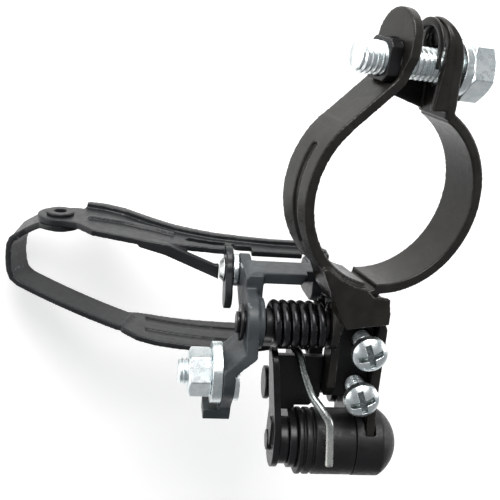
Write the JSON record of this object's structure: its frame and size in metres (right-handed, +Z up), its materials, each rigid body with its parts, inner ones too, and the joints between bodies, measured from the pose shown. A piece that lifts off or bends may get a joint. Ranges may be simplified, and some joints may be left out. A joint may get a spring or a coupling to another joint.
{
  "type": "front derailleur",
  "caption": "Clamp-on front derailleur: a hinged band clamp, a four-pivot linkage with a cable arm and return spring, limit screws and a curved chain cage.",
  "frame": {"origin": "centre of the seat-tube clamp bore, halfway up the band", "axes": "+Z up along the seat tube, +X forwards, +Y to the bicycle's left; the pivots are tilted 16 degrees about Y"},
  "size_m": [0.0796, 0.0902, 0.0529],
  "materials": {
    "clamp_steel": "semi-gloss black over steel, faint brown sheen",
    "black_steel": "semi-gloss black over steel",
    "cage_steel": "satin black over steel",
    "grey_paint": "satin blue-grey coating",
    "zinc_plate": "bright zinc plating",
    "spring_steel": "blackened wire, worn bright on the long leg",
    "black_plastic": "satin black moulded plastic"
  },
  "bodies": {
    "body": {"body_bracket": "clamp_steel", "clamp_nut": "black_steel", "side_plate": "black_steel", "screw_block": "black_plastic", "pin_a": "black_steel", "clips": "black_steel", "pin_b": "black_steel", "barrel": "black_plastic", "end_cap": "black_plastic", "return_spring": "spring_steel", "spring_bush": "black_plastic"},
    "clamp_band": {"clamp_band": "clamp_steel"},
    "lock_washer": {"lock_washer": "zinc_plate"},
    "clamp_bolt": {"clamp_bolt": "zinc_plate"},
    "limit_screw_high": {"limit_screw_high": "zinc_plate"},
    "limit_screw_low": {"limit_screw_low": "zinc_plate"},
    "cable_arm_link": {"cable_arm_link": "grey_paint", "anchor_bolt": "zinc_plate", "anchor_washer": "zinc_plate"},
    "anchor_nut": {"anchor_nut": "zinc_plate"},
    "outer_link": {"outer_link": "black_steel"},
    "cage": {"cage_inner_plate": "cage_steel", "cage_outer_plate": "cage_steel", "cage_bridge": "cage_steel", "bridge_rivets": "cage_steel", "tail_rivet": "cage_steel", "pin_c": "zinc_plate", "pin_d_rod": "black_steel", "spacer_c": "zinc_plate"}
  },
  "joints": [
    {"name": "cable_arm_swing", "type": "hinge", "parent": "body", "child": "cable_arm_link", "pos_m": [-0.01401, -0.0255, -0.00194], "axis": [-0.9613, 0, -0.2756], "range_deg": [0, 50], "stiffness_Nm_per_rad": 0.1, "springref_deg": -28.65},
    {"name": "outer_link_swing", "type": "hinge", "parent": "body", "child": "outer_link", "pos_m": [-0.00577, -0.0512, -0.00165], "axis": [-0.9613, 0, -0.2756], "range_deg": [0, 50]},
    {"name": "cage_pivot", "type": "hinge", "parent": "cable_arm_link", "child": "cage", "pos_m": [-0.01056, -0.0214, -0.01759], "axis": [-0.9613, 0, -0.2756], "range_deg": [-50, 0]},
    {"name": "clamp_open", "type": "hinge", "parent": "body", "child": "clamp_band", "pos_m": [-0.0022, -0.0182, 0], "axis": [0, 0, -1], "range_deg": [0, 2]},
    {"name": "clamp_bolt_slide", "type": "slide", "parent": "body", "child": "lock_washer", "axis": [0.9962, -0.0872, 0], "range_m": [0, 0.0017]},
    {"name": "clamp_bolt_turn", "type": "hinge", "parent": "lock_washer", "child": "clamp_bolt", "pos_m": [0.0106, 0.02245, 0], "axis": [0.9962, -0.0872, 0], "range_deg": [0, 540]},
    {"name": "high_limit_screw_turn", "type": "hinge", "parent": "body", "child": "limit_screw_high", "pos_m": [-0.00019, -0.029, -0.00006], "axis": [-0.2756, 0, 0.9613], "range_deg": [-180, 180]},
    {"name": "low_limit_screw_turn", "type": "hinge", "parent": "body", "child": "limit_screw_low", "pos_m": [-0.00048, -0.0385, -0.00014], "axis": [-0.2756, 0, 0.9613], "range_deg": [-180, 180]},
    {"name": "anchor_nut_turn", "type": "hinge", "parent": "cable_arm_link", "child": "anchor_nut", "pos_m": [-0.03063, -0.0353, -0.00566], "axis": [-0.9613, 0, -0.2756], "range_deg": [0, 360]}
  ],
  "couplings": [
    {"joint": "outer_link_swing", "follows": "cable_arm_swing", "ratio": 1},
    {"joint": "cage_pivot", "follows": "cable_arm_swing", "ratio": -1},
    {"joint": "clamp_bolt_slide", "follows": "clamp_open", "m_per_rad": 0.0478}
  ]
}
